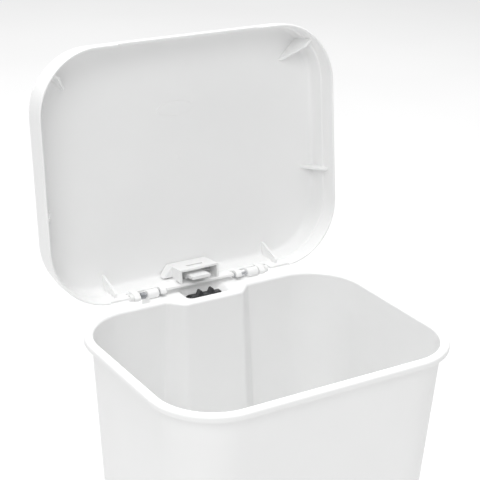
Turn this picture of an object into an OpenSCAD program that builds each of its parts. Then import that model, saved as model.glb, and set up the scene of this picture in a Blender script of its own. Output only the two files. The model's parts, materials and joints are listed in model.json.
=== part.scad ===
// Step-on kitchen bin: tapered body with a raised floor, a lid hinged behind the rim,
// and a foot pedal that lifts a rod inside the rear channel to swing the lid up.
// Millimetres, +Z up, +Y to the rear. The origin is the centre of the flat underside.
// Drawn with the lid open against its stop and the pedal down.

/* [Body] */
// Outer width of the rim
rim_w = 400; // [340:1:480]
// Outer depth of the rim
rim_d = 302; // [250:1:362]
// Height of the top of the rim
rim_h = 570; // [470:1:690]
// Outer corner radius of the rim, seen from above
rim_corner = 79.5; // [66:0.5:95]
// How far the rim stands out beyond the wall below it
rim_out = 9.5; // [8:0.5:11.5]
// Height of the rim band
rim_band = 9; // [7.5:0.5:11]
// Radius of the rolled outer edge of the rim
rim_roll = 4.8; // [4:0.1:5.8]
// Thickness of the body wall and floor
wall = 2.5; // [2:0.1:3]
// Slope of each wall, in degrees from the vertical
draft = 3.24; // [2.7:0.01:3.9]
// Height of the underside of the raised floor
floor_h = 54; // [50:0.5:65]

/* [Rod channel] */
// Half the width of the channel's front face, at the rim
channel_front = 42; // [40:0.5:46]
// Distance from the origin to the channel's front face, at the rim
channel_y = 122; // [119:0.5:126]
// How much each side of the channel's front face widens down to the floor
channel_flare = 8; // [5:0.5:12]
// How far the channel's flanks spread for each mm of its depth
channel_flank = 1; // [0.8:0.05:1.2]
// Slope of the channel's front face, in degrees from the vertical
channel_lean = 5.1; // [4.6:0.1:5.4]
// Half the width of the slot that the rod comes up through
slot_half = 32; // [29:0.5:36]
// Thickness of the rear shelf round the slot
shelf_t = 8; // [7:0.5:9]
// Distance from the origin to the rear edge of the shelf
shelf_rear = 174; // [172:0.5:177]

/* [Lid] */
// Width of the lid at its open edge
lid_w = 418; // [412:1:430]
// Depth of the lid at its open edge
lid_d = 320; // [318:1:326]
// Corner radius of the lid, seen from above
lid_corner = 81; // [76:0.5:90]
// Height of the lid
lid_h = 50; // [45:0.5:58]
// Thickness of the lid
lid_t = 2.5; // [2:0.1:3]
// How far the closed lid reaches down past the top of the rim
lid_lap = 5; // [4:0.1:5.5]
// Radius of the lid's upper edge
lid_round = 12; // [10:0.5:14]
// Angle between the closed and the fully open lid
lid_swing = 96.8; // [90:0.1:98]

/* [Hinge] */
// Distance from the origin to the hinge axis
hinge_y = 160.6; // [160:0.1:161.5]
// Height of the hinge axis above the rim
hinge_up = 4.7; // [4.5:0.1:5.2]
// Diameter of the hinge pins
pin_d = 5; // [4:0.1:5.6]
// Inner face of the lid's two ears, from the middle
ear_x = 88; // [86:0.5:90]
// Thickness of each ear
ear_t = 6; // [5:0.5:7]
// Diameter of the torsion spring's wire
spring_wire = 1.2; // [1:0.1:1.4]

/* [Pedal] */
// Travel of the lift rod
rod_stroke = 16; // [14:0.5:17]
// Slope of the lift rod, in degrees from the vertical
rod_lean = 7; // [6.8:0.1:7.1]
// Width of the lift rod
rod_w = 14; // [12:0.5:16]
// Thickness of the lift rod
rod_t = 5; // [4:0.5:5.5]
// Height of the pedal axle
axle_z = 24; // [22:0.5:26]
// Distance from the origin to the pedal axle, towards the rear
axle_y = 5; // [0:0.5:8]
// Diameter of the pedal axle
axle_d = 8; // [7:0.1:9]
// Width of the pedal plate
pedal_w = 84; // [70:1:96]
// How far the pedal plate stands out in front of the body
pedal_out = 46; // [38:1:52]
// Thickness of the pedal plate
pedal_t = 5; // [4:0.5:6]

/* [Base] */
// Thickness of the base plate
base_t = 4; // [3.5:0.1:5]
// Diameter of the base screws
screw_d = 4; // [3.5:0.1:4.5]

/* [Hidden] */
running = 0.05;      // radial clearance of a pin that turns
snug = 0.02;         // radial clearance of a pin that stays put
seat = 0.1;          // gap between a fitted piece and what it lies against
corner_n = 8;        // straight steps round each corner
eps = 0.01;
$fn = 48;

rim_under = rim_h - rim_band;
slope = tan(draft);
wall_corner = rim_corner - rim_out;
corner_loss = 10 / rim_under;   // the corners tighten a little towards the base

// Outer size of the wall at height z, and the rounded outline there
function body_w(z) = rim_w - 2*rim_out - 2*slope*(rim_under - z);
function body_d(z) = rim_d - 2*rim_out - 2*slope*(rim_under - z);
function body_r(z) = wall_corner - corner_loss*(rim_under - z);
function body_ring(z, inset) = [body_w(z) - 2*inset, body_d(z) - 2*inset, body_r(z) - inset, z];
function rim_ring(z, inset) = [rim_w - 2*inset, rim_d - 2*inset, rim_corner - inset, z];

hinge_z = rim_h + hinge_up;
lid_z = rim_h - lid_lap;        // open edge of the closed lid
lid_draft = 3.75 / 36;          // the skirt leans in this much for each mm of height
inner_h = lid_h - lid_round - 2 - lid_t;      // height of the skirt's straight inside
inner_lean = lid_draft*inner_h + lid_t;       // how far that leans in at its top
ear_r = pin_d/2 + 3.5;
ear_end = ear_x + ear_t + 3;    // outer face of the ears
hook_r = pin_d/2 + 4.5;
boss_r = pin_d/2 + 3.5;
cap_r = pin_d/2 + 2;
cap_w = 4.5;                    // length of the caps on the pins
shelf_left = -78;
shelf_right = ear_x - 1.5;
hook_x = 56;                    // the hooks over the pins stand here, each side
hook_w = 8;
notch_h = lid_lap + hinge_up + hook_r + 2;   // height of the cuts round the pins and hooks
notch_x0 = hook_x - hook_w/2 - 2;            // those cuts run from here
notch_x1 = ear_end + 7;                      // to here
shelf_cut = lid_lap + 2;        // height of the cut over the shelf
finger_cut = 7;                 // depth of the finger recess in the front edge
rear_relief = 3;                // height of the cut that lets the rear edge pass the rim

slot_front = 133.5;             // front and rear sides of the slot in the shelf
slot_rear = 168;
channel_slope = tan(channel_lean);
housing_half = slot_half + 4;   // half the width of the housing

// The rod clears the channel's front wall at the floor, and its slope takes it up to the slot
rod_gap = 1.389;
rod_slope = tan(rod_lean);
rod_foot_y = channel_y - channel_slope*(rim_h - floor_h) + wall + rod_t/2 + rod_gap;
rod_tip_z = rim_h + 2.5;
rod_tip_y = rod_foot_y + rod_slope*(rod_tip_z - floor_h);
function rod_y(z) = rod_tip_y - rod_slope*(rod_tip_z - z);
// The housing starts to stand out behind where the rod comes this near to the rear wall
rear_gap = 0.911;
corbel_z = (body_d(0)/2 - wall - rod_y(0) - rod_t/2 - rear_gap)/(rod_slope - slope);
link_z = axle_z + 16;           // pin between the rod and the lever
link_y = rod_y(link_z);
link_d = 5;
link_reach = norm([link_y - axle_y, link_z - axle_z]);
link_angle = atan2(link_z - axle_z, link_y - axle_y);
// The same pin with the pedal released
low_y = link_y - rod_stroke*sin(rod_lean);
low_z = link_z - rod_stroke*cos(rod_lean);
low_reach = norm([low_y - axle_y, low_z - axle_z]);

rail_x = 8;                     // the lever's two rails stand here, each side
rail_t = 4;
hub_half = 20;                  // half the length of the lever's hub
hub_r = axle_d/2 + 5;
bush_t = 1;                     // thickness of the axle bushes
bracket_x = 24;                 // inner face of the axle brackets
pedal_z = 11;                   // underside of the pressed pedal plate
pedal_y = -(body_d(0)/2 + pedal_out + 2.7);   // front edge of the pedal plate
pedal_back = -(body_d(floor_h)/2 + 5.7);
mouth_half = pedal_w/2 + 6;     // half the width of the pedal's mouth in the body
mouth_top = floor_h - 2;
boss_xy = [body_w(0)/2 - 33, body_d(0)/2 - 39];

cover_lap = 6;                  // how far the cover overlaps the wall round the opening
cover_low = floor_h - 1 - cover_lap;
cover_high = corbel_z - 3;
cover_t = 2.2;
cover_screw_d = 3;
cover_screws_at = [[-36, cover_high - 37], [36, cover_high - 37],
                   [-48, cover_low + 53], [48, cover_low + 53]];

bracket_front = lid_d/2 - 21.5; // cross plate of the lift bracket
bracket_gap = 0.2;              // its clearance under the lid

white = [0.95, 0.95, 0.94];
steel = [0.62, 0.63, 0.65];
charcoal = [0.16, 0.16, 0.17];

// ---- shared shapes ----

// Points of a rounded rectangle, anticlockwise from above
function corner_pts(w, d, r) = [
    for (q = [0:3], k = [0:corner_n])
        let (a = 90*q + 90*k/corner_n,
             sx = (q == 0 || q == 3) ? 1 : -1,
             sy = q < 2 ? 1 : -1)
        [sx*(w/2 - r) + r*cos(a), sy*(d/2 - r) + r*sin(a)]];

// Closed solid through outlines of equal point counts: levels = [[points, z], ...], lowest first
module skin(levels) {
    n = len(levels[0][0]);
    last = (len(levels) - 1)*n;
    polyhedron(
        points = [for (level = levels, p = level[0]) [p[0], p[1], level[1]]],
        faces = concat(
            [[for (k = [0:n-1]) k]],
            [for (i = [0:len(levels)-2], k = [0:n-1])
                [i*n + k, (i + 1)*n + k, (i + 1)*n + (k + 1)%n, i*n + (k + 1)%n]],
            [[for (k = [n-1:-1:0]) last + k]]),
        convexity = 6);
}

// The same through rounded rectangles: rings = [[width, depth, radius, z], ...]
module ring_skin(rings) {
    skin([for (g = rings) [corner_pts(g[0], g[1], g[2]), g[3]]]);
}

// Outline of the channel at one height: straight rear side, front corners rounded
function bend(from, at, to) = [
    for (t = [0:0.25:1]) from*(1 - t)*(1 - t) + at*2*t*(1 - t) + to*t*t];
function channel_pts(base, front, y_base, y_front, r) =
    let (flank = [base - front, y_base - y_front],
         u = flank/norm(flank)*r)
    concat([[base, y_base], [-base, y_base]],
           bend([-front - u[0], y_front + u[1]], [-front, y_front], [-front + r, y_front]),
           bend([front - r, y_front], [front, y_front], [front + u[0], y_front + u[1]]));

// One level of the channel: inset shrinks it, back moves its rear side
function channel_level(z, inset, back) =
    let (y_rear = body_d(z)/2 - wall + back,
         y_front = channel_y - channel_slope*(rim_h - z) + inset,
         front = channel_front + channel_flare*(rim_h - z)/(rim_h - floor_h)
             + inset*(channel_flank - norm([1, channel_flank])))
    [channel_pts(front + channel_flank*(y_rear - y_front), front, y_rear, y_front, 9), z];

// Half the width of the channel's inside at its rear, at height z
function channel_half(z) = channel_level(z, wall, 0)[0][0][0];

// The channel between two heights
module channel_block(z0, z1, inset, back) {
    intersection() {
        skin([channel_level(-rim_h/4, inset, back), channel_level(rim_h*1.25, inset, back)]);
        box([-rim_w/2, 0, z0], [rim_w/2, rim_d, z1]);
    }
}

// Places children on the sloping rear face: +Y is outwards, +Z is up along the face
module on_rear_face() {
    translate([0, body_d(0)/2, 0]) rotate([-draft, 0, 0]) children();
}

// A cylinder along X, from x0 to x1, round the point [y, z]
module bar_x(x0, x1, y, z, r) {
    translate([x0, y, z]) rotate([0, 90, 0]) cylinder(r = r, h = x1 - x0);
}

// A profile in the YZ plane, drawn as [y, z] points, extruded from x0 to x1
module slab_x(x0, x1, points) {
    translate([x0, 0, 0]) rotate([90, 0, 90]) linear_extrude(x1 - x0) polygon(points);
}

// A box from one corner to the other
module box(lo, hi) {
    translate(lo) cube(hi - lo);
}

// ---- bin body ----

module body_outside() {
    ring_skin(concat(
        [for (z = [-floor_h, rim_under]) body_ring(z, 0)],
        [rim_ring(rim_under, 0)],
        [for (a = [0:22.5:90]) rim_ring(rim_h - rim_roll + rim_roll*sin(a), rim_roll*(1 - cos(a)))]));
}

module body_inside() {
    fillet = 10;
    lip = 4;
    z0 = floor_h + wall;
    ring_skin(concat(
        [for (a = [0:30:90]) body_ring(z0 + fillet*(1 - cos(a)), wall + fillet*(1 - sin(a)))],
        [for (a = [0:22.5:90]) body_ring(rim_h - lip + lip*sin(a), wall - lip*(1 - cos(a)))],
        [body_ring(rim_h + 1, wall - lip)]));
}

// Under the floor, down past the bottom edge
module underfloor() {
    ring_skin([body_ring(-floor_h, wall), body_ring(floor_h, wall)]);
}

// The shelf behind the rim, with the housing that hides the rod's top end
module shelf_block() {
    box([shelf_left, rim_d/2 - 12, rim_h - shelf_t - 6], [shelf_right, shelf_rear, rim_h]);
    slab_x(-housing_half, housing_half, [
        [body_d(corbel_z)/2 - wall, corbel_z], [body_d(corbel_z)/2 + 0.5, corbel_z],
        [shelf_rear, rim_under - 5], [shelf_rear, rim_h], [slot_front, rim_h],
        [slot_front, rim_under]]);
}

// The way of the rod through the channel, the housing and the shelf
module rod_way() {
    channel_block(floor_h - 1, rim_h - shelf_t, wall, 0.3);
    on_rear_face() rear_plate(cover_low + cover_lap, cover_high - cover_lap, -1, -wall - 2, 2);
    slab_x(-housing_half + wall, housing_half - wall, [
        [body_d(corbel_z)/2 - wall - 12, corbel_z + wall + 1],
        [body_d(corbel_z)/2 - wall + 1, corbel_z + wall + 1],
        [shelf_rear - wall, rim_under - 5 - wall], [shelf_rear - wall, rim_h - shelf_t],
        [slot_front, rim_h - shelf_t], [slot_front - 12, rim_under - 30]]);
    skin([slot_level(-2*shelf_t), slot_level(4*shelf_t)]);
}

// Outline of the slot at a height above the shelf: its ends and rear side slope like a funnel
function slot_level(up) =
    let (half = slot_half + up, y0 = slot_front - up/8, y1 = slot_rear + up)
    [[for (p = corner_pts(2*half, y1 - y0, 8)) p + [0, (y0 + y1)/2]], rim_h + up];

module cover_bosses() {
    for (p = cover_screws_at)
        on_rear_face() translate([p[0], -seat, p[1]]) rotate([90, 0, 0]) cylinder(d = 9, h = 45);
}

module hinge_hook(x) {
    difference() {
        bar_x(x - hook_w/2, x + hook_w/2, hinge_y, hinge_z, hook_r);
        bar_x(x - hook_w, x + hook_w, hinge_y, hinge_z, pin_d/2 + snug);
        box([x - hook_w, hinge_y - 12, rim_h - 8], [x + hook_w, hinge_y - pin_d/2, hinge_z + 1]);
    }
}

module body_shell() {
    color(white) difference() {
        union() {
            difference() {
                body_outside();
                body_inside();
                underfloor();
                box([-rim_w, -rim_d, -2*floor_h], [rim_w, rim_d, base_t]);
            }
            intersection() {
                channel_block(floor_h + wall/2, rim_h, 0, 1.2);
                body_outside();
            }
            shelf_block();
            bar_x(shelf_left, shelf_left + 16, hinge_y, hinge_z, boss_r);
            bar_x(shelf_right - 16, shelf_right, hinge_y, hinge_z, boss_r);
            for (side = [-1, 1]) hinge_hook(side*hook_x);
            for (sx = [-1, 1], sy = [-1, 1])
                translate([sx*boss_xy[0], sy*boss_xy[1], base_t + seat])
                    cylinder(d = 10, h = floor_h - base_t);
        }
        difference() {
            rod_way();
            intersection() {
                cover_bosses();
                channel_block(floor_h, corbel_z, wall/2, wall);
            }
        }
        // pedal mouth in the front
        box([-mouth_half, -rim_d/2, base_t - 1], [mouth_half, -body_d(0)/2 + wall + 8, mouth_top]);
        // screw holes
        for (sx = [-1, 1], sy = [-1, 1])
            translate([sx*boss_xy[0], sy*boss_xy[1], 0]) cylinder(d = screw_d + 2*snug, h = base_t + 18);
        for (p = cover_screws_at)
            on_rear_face() translate([p[0], 1, p[1]]) rotate([90, 0, 0])
                cylinder(d = cover_screw_d + 2*snug, h = 14);
        // hinge pins
        bar_x(-ear_x, -hook_x + hook_w/2, hinge_y, hinge_z, pin_d/2 + snug);
        bar_x(hook_x - hook_w/2, ear_x, hinge_y, hinge_z, pin_d/2 + snug);
    }
}

module base_plate() {
    color(white) difference() {
        union() {
            linear_extrude(base_t) polygon(corner_pts(body_w(0), body_d(0), body_r(0)));
            for (side = [-1, 1]) {
                x0 = side > 0 ? bracket_x : -bracket_x - 4;
                slab_x(x0, x0 + 4, [
                    [axle_y - 16, base_t/2], [axle_y + 16, base_t/2],
                    [axle_y + 8, axle_z + 5], [axle_y + 5, axle_z + 8],
                    [axle_y - 5, axle_z + 8], [axle_y - 8, axle_z + 5]]);
            }
        }
        bar_x(-bracket_x - 5, bracket_x + 5, axle_y, axle_z, axle_d/2 + snug);
        for (sx = [-1, 1], sy = [-1, 1]) translate([sx*boss_xy[0], sy*boss_xy[1], -1]) {
            cylinder(d = screw_d + 0.4, h = base_t + 2);
            cylinder(d = 2*screw_d + 0.4, h = 3.6);
        }
    }
}

module base_screws() {
    color(steel) for (sx = [-1, 1], sy = [-1, 1])
        translate([sx*boss_xy[0], sy*boss_xy[1], 0]) difference() {
            union() {
                translate([0, 0, 0.2]) cylinder(d = 2*screw_d, h = 2.3);
                cylinder_from(2, base_t + 14, screw_d);
            }
            cylinder(d = 2.6, h = 1.6, $fn = 6);
        }
}

// A screw's shank from z0 to z1
module cylinder_from(z0, z1, d) {
    translate([0, 0, z0]) cylinder(d = d, h = z1 - z0);
}

// ---- rear channel ----

// Plate on the rear face between two heights, as wide as the channel's inside plus grow a side
module rear_plate(z0, z1, grow, y0, y1) {
    low = channel_half(z0) + grow;
    high = channel_half(z1) + grow;
    translate([0, y1, 0]) rotate([90, 0, 0]) linear_extrude(y1 - y0)
        polygon([[-low, z0], [low, z0], [high, z1], [-high, z1]]);
}

module channel_cover() {
    color(white) difference() {
        on_rear_face() {
            rear_plate(cover_low, cover_high, cover_lap - 1, seat, seat + cover_t);
            // inner ribs that stiffen the cover
            for (x = [-26, 26]) box([x - 1, -4, cover_low + 30], [x + 1, seat + eps, cover_high - 60]);
        }
        for (p = cover_screws_at)
            on_rear_face() translate([p[0], 8, p[1]]) rotate([90, 0, 0])
                cylinder(d = cover_screw_d + 0.4, h = 12);
    }
}

module cover_screws() {
    color(steel) for (p = cover_screws_at)
        on_rear_face() translate([p[0], seat + cover_t + 0.02, p[1]]) {
            rotate([90, 0, 0]) cylinder(d = cover_screw_d, h = 11);
            difference() {
                rotate([-90, 0, 0]) cylinder(d = 2*cover_screw_d, h = 1.8);
                for (a = [0, 90]) rotate([0, a, 0]) box([-2, 0.9, -0.35], [2, 3, 0.35]);
            }
        }
}

// Block across the channel that keeps the rod in line
module rod_guide(z) {
    play = 0.3;
    color(white) difference() {
        intersection() {
            channel_block(z - 8, z + 8, wall + seat, wall + 4);
            box([-rod_w/2 - 8, 0, z - 6], [rod_w/2 + 8, body_d(z - 6)/2 - seat, z + 6]);
        }
        rod_bar(rod_w + 2*play, rod_t + 2*play, z - 20, z + 20);
    }
}

module rod_guide_upper() { rod_guide(cover_high - cover_lap - 16); }
module rod_guide_lower() { rod_guide(floor_h + 96); }

// ---- hinge ----

module hinge_pin(side) {
    outer = ear_end + 3;
    inner = hook_x - hook_w/2 + 0.5;
    color(steel)
        bar_x(side > 0 ? inner : -outer, side > 0 ? outer : -inner, hinge_y, hinge_z, pin_d/2);
}

module hinge_pin_left() { hinge_pin(-1); }
module hinge_pin_right() { hinge_pin(1); }

// Push-on cap on the outer end of a pin
module hinge_cap(side) {
    x0 = ear_end + 0.3;
    color(white) difference() {
        bar_x(side > 0 ? x0 : -x0 - cap_w, side > 0 ? x0 + cap_w : -x0, hinge_y, hinge_z, cap_r);
        bar_x(-ear_end - 3.02, ear_end + 3.02, hinge_y, hinge_z, pin_d/2 + snug);
    }
}

module hinge_cap_left() { hinge_cap(-1); }
module hinge_cap_right() { hinge_cap(1); }

// Close-wound coils on the left pin, between the shelf and the ear
module torsion_spring() {
    gap = ear_x + shelf_left - 1;
    pitch = spring_wire*1.08;
    r = pin_d/2 + 0.6 + spring_wire/2;
    color(steel) for (k = [0:floor(gap/pitch)-1])
        translate([-ear_x + 0.5 + pitch*(k + 0.5), hinge_y, hinge_z]) rotate([0, 90, 0])
            rotate_extrude() translate([r, 0]) circle(d = spring_wire, $fn = 16);
}

// ---- lid, drawn closed and swung open about the hinge ----

module swung_open() {
    translate([0, hinge_y, hinge_z]) rotate([-lid_swing, 0, 0]) translate([0, -hinge_y, -hinge_z])
        children();
}

function lid_ring(h, inset) = [lid_w - 2*inset, lid_d - 2*inset, lid_corner - inset*0.8, lid_z + h];

module lid_outside() {
    side_h = lid_h - lid_round - 2;
    lean = lid_draft*side_h;
    ring_skin(concat(
        [lid_ring(0, 0)],
        [for (a = [0:22.5:90]) lid_ring(side_h + lid_round*sin(a), lean + lid_round*(1 - cos(a)))],
        [lid_ring(lid_h - 1, lean + lid_round + 40), lid_ring(lid_h, lean + lid_round + 62)]));
}

// Height and inset of the lid's rounded inside at angle a of its turn
function inner_turn(a) = [inner_h + lid_round*sin(a), inner_lean + lid_round*(1 - cos(a))];

module lid_inside() {
    ring_skin(concat(
        [lid_ring(-1, lid_t)],
        [for (a = [0:22.5:90]) lid_ring(inner_turn(a)[0], inner_turn(a)[1])],
        [lid_ring(lid_h - 1 - lid_t, inner_lean + lid_round + 40),
         lid_ring(lid_h - lid_t, inner_lean + lid_round + 60)]));
}

// Upright web that keeps the lid centred on the rim: [x, y] of its foot on the skirt, its angle,
// and how far it reaches in along the panel
module lid_web(x, y, angle, reach) {
    translate([x, y, lid_z]) rotate([0, 0, angle]) rotate([90, 0, 0]) translate([0, 0, -1])
        linear_extrude(2) polygon([
            [-6, 18], [3, 18], [reach, lid_h - 6], [reach, lid_h + 2], [-6, lid_h + 2]]);
}

module lid_webs() {
    side = lid_w/2 - lid_t - 2;
    rear = lid_d/2 - lid_t - 2;
    corner = lid_corner*(1 - sqrt(0.5));
    for (s = [-1, 1]) {
        lid_web(s*side, 42, s > 0 ? 180 : 0, 20);
        lid_web(s*119, rear, -90, 20);
        lid_web(s*(side - corner), -(rear - corner), s > 0 ? 135 : 45, 38);
    }
}

// Ear that turns on a hinge pin
module lid_ear(side) {
    x0 = side > 0 ? ear_x : -ear_end;
    face = lid_d/2 - lid_t;
    x1 = x0 + ear_end - ear_x;
    bar_x(x0, x1, hinge_y, hinge_z, ear_r);
    slab_x(x0, x1, [
        [face - 0.5, lid_z + 6.5], [hinge_y, hinge_z - ear_r], [hinge_y, hinge_z + ear_r],
        [face + 0.5, lid_z + notch_h + 8], [face - 1.5, lid_z + notch_h + 8]]);
}

module lid_shell() {
    color(white) swung_open() difference() {
        union() {
            difference() {
                lid_outside();
                lid_inside();
                // cuts for the shelf, the pins and the hooks
                box([-notch_x1, lid_d/2 - 14, lid_z - 1], [notch_x1, lid_d/2 + 1, lid_z + shelf_cut]);
                for (side = [-1, 1]) {
                    x0 = side > 0 ? notch_x0 : -notch_x1;
                    box([x0, lid_d/2 - 14, lid_z - 1],
                        [x0 + notch_x1 - notch_x0, lid_d/2 + 1, lid_z + notch_h]);
                }
                // relief that lets the rear edge pass the rim
                box([-132, lid_d/2 - 6, lid_z - 1], [132, lid_d/2 + 1, lid_z + rear_relief]);
                // finger recess in the front edge
                translate([0, -lid_d/2 + 8, 0]) rotate([90, 0, 0]) linear_extrude(12) polygon([
                    [-102, lid_z - 1], [102, lid_z - 1], [96, lid_z + finger_cut], [-96, lid_z + finger_cut]]);
            }
            intersection() {
                lid_webs();
                lid_outside();
            }
            for (side = [-1, 1]) lid_ear(side);
        }
        bar_x(-ear_end - 1, ear_end + 1, hinge_y, hinge_z, pin_d/2 + running);
    }
}

// Space that the bracket may fill: up to the lid's skirt, its rounded inside and its panel
module bracket_space() {
    slab_x(-60, 60, concat(
        [[bracket_front - 1, lid_z - 5], [lid_d/2 - lid_t - bracket_gap, lid_z - 5]],
        [for (a = [0:22.5:90])
            [lid_d/2 - inner_turn(a)[1] - bracket_gap, lid_z + inner_turn(a)[0] - bracket_gap]],
        [[bracket_front - 1, lid_z + inner_turn(90)[0] - bracket_gap]]));
}

module lift_bracket() {
    color(white) swung_open() intersection() {
        bracket_solid();
        bracket_space();
    }
}

// Box-shaped bracket under the lid, over the slot, with the tongue that the rod pushes
module bracket_solid() {
    half = 28;
    plate = 2.5;
    front = bracket_front;
    low = lid_z + 9;
    top = lid_z + lid_h;
    roof = lid_z + inner_h - 1;
    union() {
        // side plates
        for (side = [-1, 1]) {
            x0 = side > 0 ? half - plate : -half;
            box([x0, front, low], [x0 + plate, lid_d/2, top]);
        }
        // cross plate with its slot
        difference() {
            box([-half, front, low], [half, front + plate, top]);
            box([-12, front - 1, low + 12], [12, front + plate + 1, low + 16]);
        }
        // back plate under the lid's rounded edge, and flange on the panel
        slab_x(-half, half, [[lid_d/2 - 10, roof - 6], [lid_d/2 - 8, roof - 6], [lid_d/2 - 4, roof],
            [lid_d/2 - 4, top], [front, top], [front, top - 8], [front + 5, top - 8]]);
        // tongue with two steps
        box([-17, lid_d/2 - 14, lid_z - 3], [9, lid_d/2 - 10, roof]);
        box([-17, lid_d/2 - 10 - eps, lid_z + 16], [17, lid_d/2 - 7, roof]);
        // wings
        for (side = [-1, 1]) translate([side*half, front, roof - 2]) mirror([side > 0 ? 0 : 1, 0, 0])
            linear_extrude(18) polygon([[-eps, 0], [13, 13.5], [-eps, 13.5]]);
    }
}

// ---- lift rod ----

// Straight bar along the rod's line between two heights
module rod_bar(w, t, z0, z1) {
    slab_x(-w/2, w/2, [[rod_y(z0) - t/2, z0], [rod_y(z0) + t/2, z0],
        [rod_y(z1) + t/2, z1], [rod_y(z1) - t/2, z1]]);
}

module lift_rod() {
    head_z = rod_tip_z - 28;
    color(charcoal) difference() {
        union() {
            rod_bar(rod_w - 2, rod_t, link_z, head_z);
            bar_x(-rod_w/2 + 1, rod_w/2 - 1, link_y, link_z, 7);
            for (x = [-rod_w/2, rod_w/2 - 2]) translate([x + 1, 0, 0])
                slab_x(-1, 1, [[rod_y(link_z + 12) - rod_t/2, link_z + 12],
                    [rod_y(link_z + 12) + rod_t/2, link_z + 12],
                    [rod_y(head_z) + rod_t/2, head_z], [rod_y(head_z) - rod_t/2, head_z]]);
            // head with two pointed tips
            rod_bar(42, 8, head_z, rod_tip_z - 5.5);
            for (x = [-8.4, 8.4]) translate([x, rod_tip_y, rod_tip_z - 6]) rotate([90, 0, 0])
                translate([0, 0, -4]) linear_extrude(8) polygon([[-4, 0], [4, 0], [1, 6], [-1.4, 6]]);
        }
        bar_x(-rod_w, rod_w, link_y, link_z, link_d/2 + snug);
    }
}

module link_pin() {
    end = rail_x + rail_t + 4;
    color(steel) {
        bar_x(-end + 2, end, link_y, link_z, link_d/2);
        bar_x(-end, -end + 2, link_y, link_z, link_d/2 + 2);
    }
}

module link_clip() {
    x0 = rail_x + rail_t + 1.6;
    color(steel) difference() {
        bar_x(x0, x0 + 1, link_y, link_z, link_d/2 + 2.5);
        bar_x(x0 - 1, x0 + 2, link_y, link_z, link_d/2 + snug);
        box([x0 - 1, link_y - 1.6, link_z - 8], [x0 + 2, link_y + 1.6, link_z - link_d/2 + 0.4]);
    }
}

// ---- pedal ----

// Straight arm in the YZ plane between two points, as a polygon of half-height h0 to h1
function arm_pts(p, q, h0, h1) =
    let (u = (q - p)/norm(q - p), n = [-u[1], u[0]])
    [p - n*h0, q - n*h1, q + n*h1, p + n*h0];

module pedal_lever() {
    axle = [axle_y, axle_z];
    link = [link_y, link_z];
    neck = [pedal_back + 6, pedal_z + pedal_t/2 + 1.5];
    end = axle + (link - axle)/link_reach*((link_reach + low_reach)/2);
    color(charcoal) difference() {
        union() {
            bar_x(-hub_half, hub_half, axle_y, axle_z, hub_r);
            for (x = [-rail_x - rail_t, rail_x]) {
                slab_x(x, x + rail_t, arm_pts(axle, end, 7, 7));
                bar_x(x, x + rail_t, end[0], end[1], 7);
                slab_x(x, x + rail_t, arm_pts(neck, axle, 3.5, 7));
            }
            // web between the rails, in front of the hub
            slab_x(-rail_x - rail_t/2, rail_x + rail_t/2, arm_pts(neck, axle, 1.5, 1.5));
            // shoulders and plate
            slab_x(-mouth_half + 16, mouth_half - 16,
                   arm_pts(neck - [14, 1.5], neck + [12, 1], 2.5, 3.5));
            box([-pedal_w/2, pedal_y, pedal_z], [pedal_w/2, pedal_back, pedal_z + pedal_t]);
        }
        bar_x(-hub_half - 1, hub_half + 1, axle_y, axle_z, axle_d/2 + bush_t + snug);
        // slot for the link pin
        translate([0, axle_y, axle_z]) rotate([link_angle, 0, 0]) {
            for (y = [low_reach - 0.3, link_reach + 0.3])
                bar_x(-30, 30, y, 0, link_d/2 + 0.35);
            box([-30, low_reach - 0.3, -link_d/2 - 0.35], [30, link_reach + 0.3, link_d/2 + 0.35]);
        }
    }
}

module axle_bush(side) {
    color(white) difference() {
        union() {
            bar_x(side > 0 ? 8 : -hub_half, side > 0 ? hub_half : -8, axle_y, axle_z, axle_d/2 + bush_t);
            bar_x(side > 0 ? hub_half : -hub_half - 1.5, side > 0 ? hub_half + 1.5 : -hub_half,
                  axle_y, axle_z, axle_d/2 + 3);
        }
        bar_x(-30, 30, axle_y, axle_z, axle_d/2 + running);
    }
}

module axle_bush_left() { axle_bush(-1); }
module axle_bush_right() { axle_bush(1); }

module pedal_axle() {
    color(steel) bar_x(-bracket_x - 8, bracket_x + 8, axle_y, axle_z, axle_d/2);
}

// Rubber pad with raised ribs on the pedal plate
module pedal_tread() {
    margin = 2;
    pitch = 6;
    x1 = pedal_w/2 - margin;
    y0 = pedal_y + margin;
    y1 = pedal_back - 9.5;
    top = pedal_z + pedal_t;
    count = floor((y1 - y0 - 4)/pitch);
    color(charcoal) {
        box([-x1, y0, top], [x1, y1, top + 1.5]);
        for (k = [0:count]) box([-x1 + 3, y0 + 2 + k*pitch, top + 1.5 - eps],
                                [x1 - 3, y0 + 4.5 + k*pitch, top + 2.5]);
    }
}

body_shell();
base_plate();
base_screws();
channel_cover();
cover_screws();
rod_guide_upper();
rod_guide_lower();
hinge_pin_left();
hinge_pin_right();
hinge_cap_left();
hinge_cap_right();
torsion_spring();
pedal_axle();
lid_shell();
lift_bracket();
lift_rod();
link_pin();
link_clip();
pedal_lever();
axle_bush_left();
axle_bush_right();
pedal_tread();
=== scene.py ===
# %% [markdown]
# # A step-on kitchen bin, from its CAD frame to a finished picture
# The bin arrives as a jointed CAD model: a tapered body, a lid hinged behind the rim, and a
# pedal that lifts a rod in the rear channel. Its sizes and joints are right, but its edges are
# sharp and its surfaces have no finish. This lesson keeps every CAD size and joint, and builds
# what people see: soft moulded edges, satin plastic, steel and rubber.

# %% Load the frame
import bpy, bmesh, json, math
import numpy as np
from mathutils import Vector, Matrix

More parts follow.
